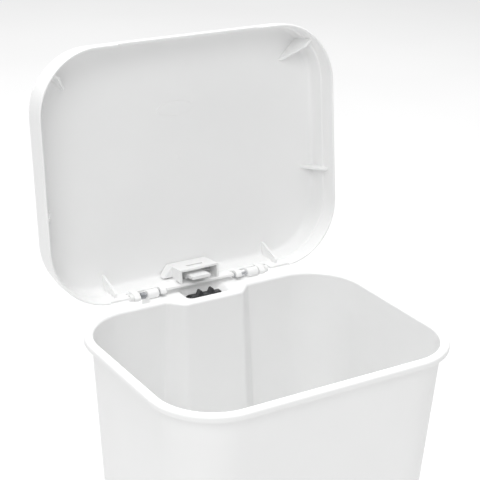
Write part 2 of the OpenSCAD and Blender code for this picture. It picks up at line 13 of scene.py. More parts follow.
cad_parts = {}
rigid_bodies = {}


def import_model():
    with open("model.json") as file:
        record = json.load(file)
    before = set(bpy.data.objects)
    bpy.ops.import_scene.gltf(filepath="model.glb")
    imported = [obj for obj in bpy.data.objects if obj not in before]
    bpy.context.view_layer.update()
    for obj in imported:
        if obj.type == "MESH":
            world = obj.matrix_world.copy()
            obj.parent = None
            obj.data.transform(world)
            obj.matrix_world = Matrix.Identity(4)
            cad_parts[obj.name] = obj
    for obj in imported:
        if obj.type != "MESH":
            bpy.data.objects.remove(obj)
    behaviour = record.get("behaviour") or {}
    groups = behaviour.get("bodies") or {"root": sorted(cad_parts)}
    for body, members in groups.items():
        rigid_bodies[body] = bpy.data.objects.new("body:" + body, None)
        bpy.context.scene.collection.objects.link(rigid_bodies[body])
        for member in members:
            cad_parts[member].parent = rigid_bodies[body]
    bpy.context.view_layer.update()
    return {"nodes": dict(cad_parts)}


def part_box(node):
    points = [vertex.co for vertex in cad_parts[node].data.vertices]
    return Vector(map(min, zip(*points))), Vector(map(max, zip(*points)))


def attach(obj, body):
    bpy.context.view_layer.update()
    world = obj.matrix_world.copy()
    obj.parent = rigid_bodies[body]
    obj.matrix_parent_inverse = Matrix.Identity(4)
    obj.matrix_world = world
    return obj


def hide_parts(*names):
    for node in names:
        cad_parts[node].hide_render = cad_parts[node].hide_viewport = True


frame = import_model()

# %% [markdown]
# ## Moulded plastic
# The bin is injection moulded in white polypropylene. Its surface is satin: a fine
# spark-eroded grain breaks the highlight, and a slow waviness comes from uneven cooling. One
# flat colour would be quicker, but its highlights are too clean. Noise on Object coordinates
# was chosen, because it keeps its true scale on every piece and moves with the piece.


# %% Node steps: a material, noise and colour
def new_material(name):
    """A material with nodes, and its lists of nodes and links."""
    mat = bpy.data.materials.new(name)
    mat.use_nodes = True
    return mat, mat.node_tree.nodes, mat.node_tree.links


def noise_node(nodes, links, coords, scale, detail=2.0, rough=0.5):
    """A noise with this many cells to the metre."""
    tex = nodes.new("ShaderNodeTexNoise")
    tex.inputs["Scale"].default_value = scale
    tex.inputs["Detail"].default_value = detail
    tex.inputs["Roughness"].default_value = rough
    links.new(coords, tex.inputs["Vector"])
    return tex.outputs["Fac"]


def ramp_node(nodes, links, fac, low, high):
    """Blends two colours; low and high are each a (position, (r, g, b)) pair."""
    ramp = nodes.new("ShaderNodeValToRGB")
    for element, (position, colour) in zip(ramp.color_ramp.elements, (low, high)):
        element.position, element.color = position, (*colour, 1)
    links.new(fac, ramp.inputs["Fac"])
    return ramp.outputs["Color"]


print("colour helpers: new_material, noise_node, ramp_node")

# %% Node steps: gloss and bump
NOISE_LOW, NOISE_HIGH = 0.3, 0.7


def range_node(nodes, links, value, low, high):
    """Spreads a noise over low to high, for roughness."""
    node = nodes.new("ShaderNodeMapRange")
    node.inputs["From Min"].default_value = NOISE_LOW
    node.inputs["From Max"].default_value = NOISE_HIGH
    node.inputs["To Min"].default_value = low
    node.inputs["To Max"].default_value = high
    links.new(value, node.inputs["Value"])
    return node.outputs["Result"]


def bump_node(nodes, links, height, strength, distance, before=None):
    """A bump of this depth in metres, on top of the one before it."""
    bump = nodes.new("ShaderNodeBump")
    bump.inputs["Strength"].default_value = strength
    bump.inputs["Distance"].default_value = distance
    links.new(height, bump.inputs["Height"])
    if before:
        links.new(before, bump.inputs["Normal"])
    return bump.outputs["Normal"]


print("a noise keeps mostly between", NOISE_LOW, "and", NOISE_HIGH, "of its 0 to 1")

# %% One recipe for every plastic
DRIFT_SCALE, GLOSS_SCALE, WAVE_SCALE = 9.0, 45.0, 14.0
WAVE_DEPTH, GRAIN_DEPTH = 0.0006, 0.00008
WAVE_STRENGTH, PLASTIC_IOR = 0.25, 1.49


def plastic(name, light, dark, rough=(0.38, 0.46), grain=1400.0, grain_strength=0.12):
    """Moulded plastic: slow colour drift, uneven gloss, fine grain over a faint waviness."""
    mat, nodes, links = new_material(name)
    surface = nodes["Principled BSDF"]
    coords = nodes.new("ShaderNodeTexCoord").outputs["Object"]
    drift = noise_node(nodes, links, coords, DRIFT_SCALE, 3.0)
    links.new(ramp_node(nodes, links, drift, (0.35, dark), (0.65, light)),
              surface.inputs["Base Color"])
    gloss = noise_node(nodes, links, coords, GLOSS_SCALE, 4.0, 0.6)
    links.new(range_node(nodes, links, gloss, *rough), surface.inputs["Roughness"])
    slow = bump_node(nodes, links, noise_node(nodes, links, coords, WAVE_SCALE, 1.0),
                     WAVE_STRENGTH, WAVE_DEPTH)
    fine = bump_node(nodes, links, noise_node(nodes, links, coords, grain), grain_strength,
                     GRAIN_DEPTH, slow)
    links.new(fine, surface.inputs["Normal"])
    surface.inputs["IOR"].default_value = PLASTIC_IOR
    return mat


white = plastic("white_satin_plastic", (0.930, 0.932, 0.930), (0.915, 0.917, 0.915))
parts_white = plastic("white_small_part_plastic", (0.890, 0.892, 0.890),
                      (0.865, 0.868, 0.866), (0.30, 0.38), 2200.0, 0.08)
charcoal = plastic("charcoal_plastic", (0.050, 0.051, 0.054), (0.034, 0.035, 0.037),
                   (0.36, 0.5), 1800.0, 0.3)
print("plastics:", white.name, parts_white.name, charcoal.name)

# %% [markdown]
# ## Steel and rubber
# The pins, the axle and the screws are zinc-plated steel, the spring is darker oil-hardened
# wire, and the tread is black rubber with dust in its grain. Steel could be a plain mirror with
# some roughness, but turning leaves fine rings round an axis, and pins, axle and spring all have
# theirs along X. So a noise that is squeezed along X makes the rings, and a second noise makes
# the dull patches. Rubber takes a coarse noise for its dust and a fine one for its grain.

# %% Turned and drawn steel
PATCH_SCALE, PATCH_DARK = 160.0, 0.82
STREAK_STRENGTH, STREAK_DEPTH = 0.15, 0.00004


def steel_material(name, tint, rough, streaks):
    """Steel with fine rings round X and a few dull patches; streaks holds the noise's scales."""
    mat, nodes, links = new_material(name)
    surface = nodes["Principled BSDF"]
    surface.inputs["Metallic"].default_value = 1.0
    coords = nodes.new("ShaderNodeTexCoord").outputs["Object"]
    stretch = nodes.new("ShaderNodeMapping")
    stretch.inputs["Scale"].default_value = streaks
    links.new(coords, stretch.inputs["Vector"])
    lines = noise_node(nodes, links, stretch.outputs["Vector"], 1.0, 3.0)
    patches = noise_node(nodes, links, coords, PATCH_SCALE, 4.0, 0.65)
    dull = tuple(PATCH_DARK * c for c in tint)
    links.new(ramp_node(nodes, links, patches, (0.35, dull), (0.6, tint)),
              surface.inputs["Base Color"])
    links.new(range_node(nodes, links, lines, *rough), surface.inputs["Roughness"])
    links.new(bump_node(nodes, links, lines, STREAK_STRENGTH, STREAK_DEPTH),
              surface.inputs["Normal"])
    return mat


steel = steel_material("zinc_plated_steel", (0.66, 0.67, 0.69), (0.24, 0.36), (3500, 300, 300))
spring_steel = steel_material("spring_steel", (0.42, 0.43, 0.45), (0.35, 0.5),
                              (2500, 900, 900))
print("steels:", steel.name, spring_steel.name)

# %% Rubber with dust in its grain
CLEAN_RUBBER, DUSTY_RUBBER = (0.022, 0.022, 0.023), (0.048, 0.047, 0.046)
DUST_SCALE, RUBBER_GRAIN, RUBBER_GRAIN_DEPTH = 60.0, 2600.0, 0.0001


def rubber_material(name):
    """Matt black rubber, greyer and duller where dust lies."""
    mat, nodes, links = new_material(name)
    surface = nodes["Principled BSDF"]
    coords = nodes.new("ShaderNodeTexCoord").outputs["Object"]
    dust = noise_node(nodes, links, coords, DUST_SCALE, 5.0, 0.6)
    links.new(ramp_node(nodes, links, dust, (0.4, CLEAN_RUBBER), (0.75, DUSTY_RUBBER)),
              surface.inputs["Base Color"])
    links.new(range_node(nodes, links, dust, 0.62, 0.8), surface.inputs["Roughness"])
    grain = noise_node(nodes, links, coords, RUBBER_GRAIN)
    links.new(bump_node(nodes, links, grain, 0.5, RUBBER_GRAIN_DEPTH), surface.inputs["Normal"])
    return mat


rubber = rubber_material("ribbed_rubber")
print("materials:", [m.name for m in bpy.data.materials])

# %% [markdown]
# ## The body
# The body is one moulding: a tapered tub whose rim is rolled outwards, with a channel standing
# in from its rear wall. It could be a box with its edges bevelled, but bevels meet badly where
# the channel runs into the tapered wall. A loft suits it, because each height of the tub is
# one closed outline. The outlines all carry the same points, so the plain outer wall, the rim
# and the inside with its channel join into one skin. Hollow spaces are cut out afterwards.

# %% Sizes of the tub, in millimetres
MM = 0.001
RIM_W, RIM_D, RIM_H = 400.0, 302.0, 570.0
RIM_CORNER, RIM_OUT, RIM_BAND, RIM_ROLL = 79.5, 9.5, 9.0, 4.8
RIM_UNDER = RIM_H - RIM_BAND
WALL, FLOOR_Z, BASE_TOP = 2.5, 54.0, 4.0
TOP_CORNER, CORNER_LESS = 70.0, 10.0
SIDE_ANGLE = 3.24
SLOPE = math.tan(math.radians(SIDE_ANGLE))


def body_w(z):
    """The tub's outside width at this height."""
    return RIM_W - 2 * RIM_OUT - 2 * SLOPE * (RIM_UNDER - z)


def body_d(z):
    """The tub's outside depth at this height."""
    return RIM_D - 2 * RIM_OUT - 2 * SLOPE * (RIM_UNDER - z)


def body_corner(z):
    """The radius of its upright corners at this height."""
    return TOP_CORNER - (CORNER_LESS / RIM_UNDER) * (RIM_UNDER - z)


print("tub at the foot:", round(body_w(0), 1), "x", round(body_d(0), 1), "mm")


# %% Arcs and rounded corners
def arc(start, stop, steps):
    """Angles in radians, from degrees, both ends included."""
    return np.radians(np.linspace(start, stop, steps + 1))


def stretch_points(a, b, steps):
    """Evenly spaced points from a to b, both ends included."""
    a, b = np.array(a, float), np.array(b, float)
    return [a + (b - a) * t for t in np.linspace(0, 1, steps + 1)]


def rounded_turn(before, corner, after, radius, steps):
    """Points of an arc of this radius that rounds a corner of a path."""
    before, corner, after = (np.array(p, float) for p in (before, corner, after))
    u = (before - corner) / np.linalg.norm(before - corner)
    v = (after - corner) / np.linalg.norm(after - corner)
    half = math.acos(np.clip(u @ v, -1, 1)) / 2
    reach = radius / math.tan(half)
    mid = (u + v) / np.linalg.norm(u + v)
    centre = corner + mid * radius / math.sin(half)
    a, b = corner + u * reach - centre, corner + v * reach - centre
    turn = math.acos(np.clip(a @ b / (radius * radius), -1, 1))
    return [centre + (math.sin((1 - t) * turn) * a + math.sin(t * turn) * b) / math.sin(turn)
            for t in np.linspace(0, 1, steps + 1)]


print("a quarter turn in 3 steps:", np.degrees(arc(0, 90, 3)).round(1))

# %% The channel's side of an outline
CHANNEL_FRONT, CHANNEL_Y, CHANNEL_FLARE = 42.0, 122.0, 8.0
CHANNEL_SLOPE = math.tan(math.radians(5.1))
FOOT_ROUND, NOSE_ROUND, ROUND_GROWTH = 9.0, 10.0, 0.6


def channel_front_y(z):
    """Y of the channel's front face at this height."""
    return CHANNEL_Y - CHANNEL_SLOPE * (RIM_H - z)


def channel_front_half(z, offset):
    """Half the width of that face, on a skin this far off it."""
    return (CHANNEL_FRONT + CHANNEL_FLARE * (RIM_H - z) / (RIM_H - FLOOR_Z)
            + offset * (1 - math.sqrt(2)))


def channel_path(z, grow, corner_x):
    """Right half of the cavity's rear outline: from the tub's corner to the channel's middle."""
    y_wall, y_front = body_d(z) / 2 - WALL + grow, channel_front_y(z) + grow
    front = channel_front_half(z, grow)
    foot = front + (y_wall - y_front)
    start, base, nose, middle = (corner_x, y_wall), (foot, y_wall), (front, y_front), (0, y_front)
    inner = rounded_turn(start, base, nose, FOOT_ROUND + grow * ROUND_GROWTH, 7)
    outer = rounded_turn(base, nose, middle, NOSE_ROUND - grow * ROUND_GROWTH, 9)
    return (stretch_points(start, inner[0], 5)[:-1] + inner
            + stretch_points(inner[-1], outer[0], 5)[1:-1] + outer
            + stretch_points(outer[-1], middle, 7)[1:])


REAR_CORNER_X = 121.0
REAR_X = [p[0] for p in channel_path(RIM_H, 0.0, REAR_CORNER_X)]
print("points on half of the rear side:", len(REAR_X))

# %% Outlines with equal point counts
CORNER_STEPS, SIDE_STEPS, FRONT_STEPS = 28, 8, 14


def tub_ring(w, d, r, z, grow=None):
    """One outline, anticlockwise from above; with grow it takes in the channel."""
    hx, hy = w / 2 - r, d / 2 - r

    def turn(cx, cy, a0):
        return [(cx + r * math.cos(a), cy + r * math.sin(a), z)
                for a in arc(a0, a0 + 90, CORNER_STEPS)]

    pts = [(w / 2, y, z) for y in np.linspace(-hy, hy, SIDE_STEPS + 1)[1:-1]]
    pts += turn(hx, hy, 0)
    if grow is None:
        right = [(x * hx / REAR_X[0], d / 2) for x in REAR_X]
    else:
        right = channel_path(z, grow, hx)
    pts += [(x, y, z) for x, y in right[1:]]
    pts += [(-x, y, z) for x, y in right[-2:0:-1]]
    pts += turn(-hx, hy, 90)
    pts += [(-w / 2, y, z) for y in np.linspace(hy, -hy, SIDE_STEPS + 1)[1:-1]]
    pts += turn(-hx, -hy, 180)
    pts += [(x, -d / 2, z) for x in np.linspace(-hx, hx, FRONT_STEPS + 1)[1:-1]]
    pts += turn(hx, -hy, 270)
    return pts


print("points in an outline:", len(tub_ring(RIM_W, RIM_D, RIM_CORNER, RIM_H)))


# %% The wall's outline and the rim's
def wall_ring(z, inset, with_channel=False):
    """The tub's wall at this height, moved inwards; the channel belongs to the inside only."""
    return tub_ring(body_w(z) - 2 * inset, body_d(z) - 2 * inset, body_corner(z) - inset, z,
                    WALL - inset if with_channel else None)


def rim_ring(z, inset):
    """The rim's outer edge, moved inwards."""
    return tub_ring(RIM_W - 2 * inset, RIM_D - 2 * inset, RIM_CORNER - inset, z)


print("with the channel:", len(wall_ring(RIM_H, WALL, True)), "points, on the rim:",
      len(rim_ring(RIM_H, 0)))


# %% From outlines to a solid
def make_object(name, verts, faces):
    """A mesh object at the origin from points in millimetres, closed and turned outwards."""
    mesh = bpy.data.meshes.new(name)
    mesh.from_pydata([tuple(MM * float(c) for c in v) for v in verts], [], faces)
    bm = bmesh.new()
    bm.from_mesh(mesh)
    bmesh.ops.remove_doubles(bm, verts=bm.verts, dist=1e-6)
    bmesh.ops.recalc_face_normals(bm, faces=bm.faces)
    if bm.calc_volume(signed=True) < 0:
        bmesh.ops.reverse_faces(bm, faces=bm.faces)
    bm.to_mesh(mesh)
    bm.free()
    obj = bpy.data.objects.new(name, mesh)
    bpy.context.scene.collection.objects.link(obj)
    return obj


def loft(name, rings):
    """A closed solid through rings of equal point counts, with a flat cap on each end."""
    n = len(rings[0])
    verts = [p for ring in rings for p in ring]
    faces = [tuple(range(n))]
    for i in range(len(rings) - 1):
        for k in range(n):
            j = (k + 1) % n
            faces.append((i * n + k, i * n + j, (i + 1) * n + j, (i + 1) * n + k))
    faces.append(tuple(range((len(rings) - 1) * n, len(rings) * n)))
    return make_object(name, verts, faces)


print("mesh helpers: make_object, loft; points are multiplied by", MM)

# %% Loft the tub
# The rings start under the floor, go down inside the foot, up the outside, over the rim, and
# down the inside to the floor again.
LIP, FILLET, WALL_FROM = 4.0, 10.0, 30.0
foot_profile = [(FLOOR_Z, WALL), (BASE_TOP, WALL), (BASE_TOP, 0.8), (BASE_TOP + 0.8, 0.1),
                (BASE_TOP + 1.6, 0)]
under_rim = [(RIM_UNDER - 0.4, -0.4), (RIM_UNDER, -1.5)]
rim_edge = [(RIM_UNDER, 1.2), (RIM_UNDER + 0.35, 0.35), (RIM_UNDER + 1.2, 0)]

rings = [wall_ring(z, inset) for z, inset in foot_profile]
rings += [wall_ring(z, 0) for z in np.linspace(WALL_FROM, RIM_UNDER - 1.5, 12)]
rings += [wall_ring(z, inset) for z, inset in under_rim]
rings += [rim_ring(z, inset) for z, inset in rim_edge]
rings += [rim_ring(RIM_H - RIM_ROLL + RIM_ROLL * math.sin(a), RIM_ROLL * (1 - math.cos(a)))
          for a in arc(0, 90, 10)]
rings += [wall_ring(RIM_H - LIP + LIP * math.sin(a), WALL - LIP * (1 - math.cos(a)), True)
          for a in arc(90, 0, 8)]
rings += [wall_ring(z, WALL, True)
          for z in np.linspace(RIM_H - LIP, FLOOR_Z + WALL + FILLET, 14)[1:]]
rings += [wall_ring(FLOOR_Z + WALL + FILLET * (1 - math.cos(a)),
                    WALL + FILLET * (1 - math.sin(a)), True) for a in arc(90, 0, 8)[1:]]
body = loft("bin_body", rings)
print("tub outline points:", len(rings[0]), "rings:", len(rings))

# %% [markdown]
# ## Shelf and rod housing
# Behind the rim a flat shelf carries the hinge, and a housing under it hides the top end of
# the rod. They are part of the same moulding. They could be drawn into the outlines, but they
# reach only over a short height. Two soft-edged slabs that merge with the tub are simpler, and
# keep their own sizes.

# %% Soft slabs
LEAST_CORNER = 0.3


def slab_ring(x0, x1, y0, y1, r, z, inset, steps=6):
    """A rectangle with round corners, moved inwards by inset."""
    w, d = (x1 - x0) / 2 - inset, (y1 - y0) / 2 - inset
    cx, cy, rr = (x0 + x1) / 2, (y0 + y1) / 2, max(r - inset, LEAST_CORNER)
    pts = []
    for sx, sy, a0 in ((1, 1, 0), (-1, 1, 90), (-1, -1, 180), (1, -1, 270)):
        pts += [(cx + sx * (w - rr) + rr * math.cos(a), cy + sy * (d - rr) + rr * math.sin(a), z)
                for a in arc(a0, a0 + 90, steps)]
    return pts


def soft_slab(name, x0, x1, y0, y1, z0, z1, corner, top, bottom, steps=6):
    """A slab with round upright corners and rounded top and bottom edges."""
    levels = [(z0 + bottom * (1 - math.cos(a)), bottom * (1 - math.sin(a)))
              for a in arc(0, 90, 4)]
    levels += [(z1 - top + top * math.sin(a), top * (1 - math.cos(a))) for a in arc(0, 90, 6)]
    return loft(name, [slab_ring(x0, x1, y0, y1, corner, z, i, steps) for z, i in levels])


def extrude(name, outline, x0, x1):
    """A slab across X whose profile is a list of (y, z) points."""
    return loft(name, [[(x0, y, z) for y, z in outline], [(x1, y, z) for y, z in outline]])


print("points in a slab's outline:", len(slab_ring(0, 10, 0, 10, 2, 0, 0)))

# %% The shelf and the housing under it
SHELF_LEFT, SHELF_RIGHT, SHELF_REAR, SHELF_T = -78.0, 86.5, 174.0, 8.0
SHELF_IN_RIM, SHELF_BLOCK, UNDER_TOP = 6.0, 14.0, 0.03
HOUSING_HALF, CORBEL_Z, HOUSING_IN = 36.0, 425.0, 1.0
HOUSING_Z, HOUSING_TOP, HOUSING_FRONT = RIM_UNDER - 5, RIM_H - 4, 140.0

shelf = soft_slab("shelf", SHELF_LEFT, SHELF_RIGHT, RIM_D / 2 - SHELF_IN_RIM, SHELF_REAR,
                  RIM_H - SHELF_BLOCK, RIM_H - UNDER_TOP, corner=2.5, top=1.6, bottom=1.5)
y_low = body_d(CORBEL_Z) / 2
housing = extrude("housing", [
    (y_low - WALL, CORBEL_Z), (y_low + 0.5, CORBEL_Z), (SHELF_REAR - HOUSING_IN, HOUSING_Z),
    (SHELF_REAR - HOUSING_IN, HOUSING_TOP), (HOUSING_FRONT, HOUSING_TOP),
    (HOUSING_FRONT, RIM_UNDER)], -HOUSING_HALF, HOUSING_HALF)
print("shelf:", SHELF_RIGHT - SHELF_LEFT, "mm wide; housing:", 2 * HOUSING_HALF, "mm wide")

# %% [markdown]
# ## Hinge bosses and hooks
# The hinge pins lie in two round bosses at the shelf's ends, and a hook clips over each pin
# further in. A boss could be a plain cylinder, but a moulded one has a small edge break, so it
# is turned from a short profile. A hook is an arch drawn from the side and given soft edges.

# %% Turned shapes and their places
HINGE_Y, HINGE_Z, PIN_R = 160.6, 574.7, 2.5
BOSS_PROFILE = [(0.0, 5.2), (0.8, 6.0), (15.0, 6.0), (16.0, 5.2)]


def turned_bar(name, profile, y, z, steps=40):
    """A solid of revolution about an axis along X; profile is a list of (x, radius)."""
    return loft(name, [[(x, y + r * math.cos(a), z + r * math.sin(a))
                        for a in np.linspace(0, 2 * math.pi, steps, endpoint=False)]
                       for x, r in profile])


def boss(name, end, inward):
    """A boss from the shelf's end inwards."""
    return turned_bar(name, sorted((end + inward * x, r) for x, r in BOSS_PROFILE),
                      HINGE_Y, HINGE_Z)


bosses = [boss("boss_left", SHELF_LEFT, 1), boss("boss_right", SHELF_RIGHT, -1)]
print("bosses:", len(bosses), "on an axis", HINGE_Z, "mm above the floor")


# %% Apply modifiers, round edges, unite and cut
def bake(obj):
    """Turns an object's modifiers into a plain mesh."""
    evaluated = obj.evaluated_get(bpy.context.evaluated_depsgraph_get())
    mesh = bpy.data.meshes.new_from_object(evaluated)
    obj.modifiers.clear()
    obj.data = mesh
    return obj


def round_edges(obj, width, segments, angle):
    """Bevels the edges that turn by more than this angle, by a width in millimetres."""
    edge = obj.modifiers.new("edge", "BEVEL")
    edge.width, edge.segments, edge.limit_method = width * MM, segments, "ANGLE"
    edge.angle_limit, edge.use_clamp_overlap = math.radians(angle), True
    edge.harden_normals = False
    return bake(obj)


def combine(obj, tools, operation):
    """Unites obj with the tools, or cuts them out of it."""
    for tool in tools:
        step = obj.modifiers.new("combine", "BOOLEAN")
        step.operation, step.solver, step.object = operation, "EXACT", tool
    bake(obj)
    for tool in tools:
        bpy.data.objects.remove(tool, do_unlink=True)
    return obj


print("finishing helpers: bake, round_edges, combine")

# %% Hooks over the pins
HOOK_X, HOOK_HALF, HOOK_OUTER, HOOK_INNER = 56.0, 4.0, 7.0, PIN_R + 0.6
HOOK_FROM, HOOK_TO, HOOK_TAIL, HOOK_EDGE = -52, 178, 1.6, 0.8


def hook(name, x):
    """An arch that clips over the pin, open towards the front."""
    path = [(HINGE_Y + HOOK_OUTER * math.cos(a), HINGE_Z + HOOK_OUTER * math.sin(a))
            for a in arc(HOOK_FROM, HOOK_TO, 22)]
    path += [(HINGE_Y - (HOOK_OUTER + HOOK_INNER) / 2, HINGE_Z - HOOK_TAIL)]
    path += [(HINGE_Y + HOOK_INNER * math.cos(a), HINGE_Z + HOOK_INNER * math.sin(a))
             for a in arc(HOOK_TO, HOOK_FROM, 16)]
    return round_edges(extrude(name, path, x - HOOK_HALF, x + HOOK_HALF), HOOK_EDGE, 3, 40)


hooks = [hook("hook_left", -HOOK_X), hook("hook_right", HOOK_X)]
combine(body, [shelf, housing] + bosses + hooks, "UNION")
print("body with shelf:", len(body.data.polygons), "faces")

# %% [markdown]
# ## Hollows of the body
# The rod runs inside the channel, its tips rise through a slot in the shelf, the back is open
# behind a cover, and the pedal sticks out of a mouth at the foot. A solid body with dark
# patches would pass from afar, but then the rod could not move behind its wall. So the hollows
# are cut, with tools lofted from the same formulas as the walls, and each wall keeps its
# thickness. The slot is flared at its top, as a moulded opening is.

# %% The rod's way
VOID_ROUND, VOID_STEPS, VOID_BACK = 8.0, 6, 0.3
VOID_IN, VOID_FRONT, VOID_SLANT_Y, VOID_SLANT_Z = 12, 133.5, 121.5, RIM_UNDER - 30


def channel_void(z, back=VOID_BACK):
    """Outline of the hollow channel, one wall inside its skin."""
    y_rear, y_front = body_d(z) / 2 - WALL + back, channel_front_y(z) + WALL
    front = channel_front_half(z, WALL)
    foot = front + (y_rear - y_front)
    nose = rounded_turn((foot, y_rear), (front, y_front), (0, y_front), VOID_ROUND, VOID_STEPS)
    right = [(foot, y_rear)] + [tuple(p) for p in nose]
    return [(x, y, z) for x, y in right] + [(-x, y, z) for x, y in reversed(right)]


void = loft("channel_void", [channel_void(FLOOR_Z - 1), channel_void(RIM_H - SHELF_T)])
housing_void = extrude("housing_void", [
    (y_low - WALL - VOID_IN, CORBEL_Z + WALL + 1), (y_low - WALL + 1, CORBEL_Z + WALL + 1),
    (SHELF_REAR - WALL - HOUSING_IN, HOUSING_Z - WALL),
    (SHELF_REAR - WALL - HOUSING_IN, RIM_H - SHELF_T),
    (VOID_FRONT, RIM_H - SHELF_T), (VOID_SLANT_Y, VOID_SLANT_Z)],
    -HOUSING_HALF + WALL, HOUSING_HALF - WALL)
print("the rod's way is", round(2 * channel_front_half(RIM_H, WALL)), "mm wide at its top")

# %% The slot, flared at its top
SLOT = (-32.0, 32.0, 133.5, 168.0)
SLOT_CORNER, SLOT_DEPTH, FLARE, FLARE_DEPTH = 8.0, 15.5, 1.6, 2.6


def slot_ring(up, flare=0.0):
    """The slot's outline at a height above the shelf: its ends and rear side slope inwards."""
    x0, x1, y0, y1 = SLOT
    return slab_ring(x0 - up - flare, x1 + up + flare, y0 - up / 8 - flare, y1 + up + flare,
                     SLOT_CORNER + flare, RIM_H + up, 0.0, 10)


slot_rings = [slot_ring(-SLOT_DEPTH), slot_ring(-FLARE_DEPTH)]
slot_rings += [slot_ring(-FLARE_DEPTH + FLARE_DEPTH * math.sin(a), FLARE * (1 - math.cos(a)))
               for a in arc(15, 90, 6)]
slot_rings += [[(x, y, RIM_H + 3) for x, y, z in slot_rings[-1]]]
slot_tool = loft("slot_tool", slot_rings)
print("slot:", SLOT[1] - SLOT[0], "x", SLOT[3] - SLOT[2], "mm")

# %% The open back, the pedal's mouth and the pins' ways
OPEN_LOW, OPEN_HIGH = 53, 416
MOUTH_HALF, MOUTH_TOP, MOUTH_MARGIN = 48.0, FLOOR_Z - 2, 8
PIN_WAY_FROM, PIN_WAY_TO, PIN_PLAY = 52, 90, 0.02
rear = (Matrix.Translation((0, MM * body_d(0) / 2, 0))
        @ Matrix.Rotation(math.radians(-SIDE_ANGLE), 4, "X"))


def rear_opening():
    """A tool along the sloping rear wall, 1 mm narrower than the channel on each side."""
    low, high = channel_void(OPEN_LOW + 2, 0)[0][0] - 1, channel_void(OPEN_HIGH, 0)[0][0] - 1
    tool = loft("rear_opening", [
        [(-low, y, OPEN_LOW), (low, y, OPEN_LOW), (high, y, OPEN_HIGH), (-high, y, OPEN_HIGH)]
        for y in (-WALL - 2, 2)])
    tool.data.transform(rear)
    return tool


mouth = soft_slab("mouth", -MOUTH_HALF, MOUTH_HALF, -RIM_D / 2,
                  -body_d(0) / 2 + WALL + MOUTH_MARGIN, BASE_TOP - MOUTH_MARGIN, MOUTH_TOP,
                  corner=1.0, top=5.0, bottom=0.5)
pin_ways = [turned_bar("pin_way", [(x0, PIN_R + PIN_PLAY), (x1, PIN_R + PIN_PLAY)],
                       HINGE_Y, HINGE_Z)
            for x0, x1 in ((-PIN_WAY_TO, -PIN_WAY_FROM), (PIN_WAY_FROM, PIN_WAY_TO))]
combine(body, [void, housing_void, slot_tool, rear_opening(), mouth] + pin_ways, "DIFFERENCE")
print("hollowed body:", len(body.data.polygons), "faces")


# %% Shade the body and hand it to the frame
def shade(obj, angle, weighted=True):
    """Smooth shading that stays crisp where faces turn by more than this angle."""
    obj.data.shade_smooth()
    obj.data.set_sharp_from_angle(angle=math.radians(angle))
    if weighted:
        normals = obj.modifiers.new("weighted", "WEIGHTED_NORMAL")
        normals.keep_sharp, normals.weight = True, 80
    return obj


def finish(obj, material, slot, body_name, *nodes_replaced):
    """Gives a piece its material and the body it moves with, and hides the CAD nodes it replaces;
    slot is not used.
    """
    obj.data.materials.clear()
    obj.data.materials.append(material)
    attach(obj, body_name)
    if nodes_replaced:
        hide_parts(*nodes_replaced)
    return obj


shade(body, 32)
finish(body, white, "white_body", "bin", "body_shell")
print("finished body rides on bin:", len(body.data.polygons), "faces")

# %% [markdown]
# ## The lid
# The lid is a shallow tray. Half way down its skirt steps outwards, to slide over the rim,
# its front edge has a finger recess, and its upper edge is generously rounded. A sheet with
# thickness added would be quick, but its step would be equally thick inside and out. So outer
# and inner skins are lofted apart and joined at the edge. The lid is built closed, where its
# sizes are easy to read, and then swung up about the hinge axis.

# %% Sizes of the lid, in millimetres
LID_W, LID_D, LID_CORNER, LID_H, LID_T, LID_SWING = 418.0, 320.0, 81.0, 50.0, 2.5, 96.8
LID_Z = RIM_H - 5.0
LID_ROUND, LID_INNER_ROUND, LID_DRAFT = 12.0, 6.0, 3.75 / 36
STEP_H, OUTER_STEP, INNER_STEP = 22.0, 0.9, 1.7
FINGER_HALF, FINGER_RUN, FINGER_DEEP, FINGER_FADE = 96.0, 6.0, 7.0, 15.0
LID_CORNER_STEPS, REAR_STEPS, CORNER_SHRINK = 32, 16, 0.8
SWING = (Matrix.Translation((0, MM * HINGE_Y, MM * HINGE_Z))
         @ Matrix.Rotation(math.radians(-LID_SWING), 4, "X")
         @ Matrix.Translation((0, -MM * HINGE_Y, -MM * HINGE_Z)))
print("the lid swings", LID_SWING, "degrees about y", HINGE_Y, "z", HINGE_Z)

# %% Where the finger recess cuts the edge
RECESS_FAR, RECESS_NEAR, FRONT_BAND = 104.0, 94.0, 12


def finger_lift(x, y):
    """How far the edge is cut back at this point of the front side."""
    if y > -LID_D / 2 + FRONT_BAND:
        return 0.0
    t = np.clip((FINGER_HALF + FINGER_RUN - abs(x)) / FINGER_RUN, 0, 1)
    return FINGER_DEEP * t * t * (3 - 2 * t)


def front_places(hx):
    """X of the points along the front side, close together where the finger recess ends."""
    left = list(np.linspace(-hx, -RECESS_FAR, 4)[1:-1])
    left += list(np.linspace(-RECESS_FAR, -RECESS_NEAR, 9))
    return (left + list(np.linspace(-RECESS_NEAR, RECESS_NEAR, 13)[1:-1])
            + [-x for x in reversed(left)])


print("recess at the middle:", finger_lift(0, -LID_D / 2), "mm deep")


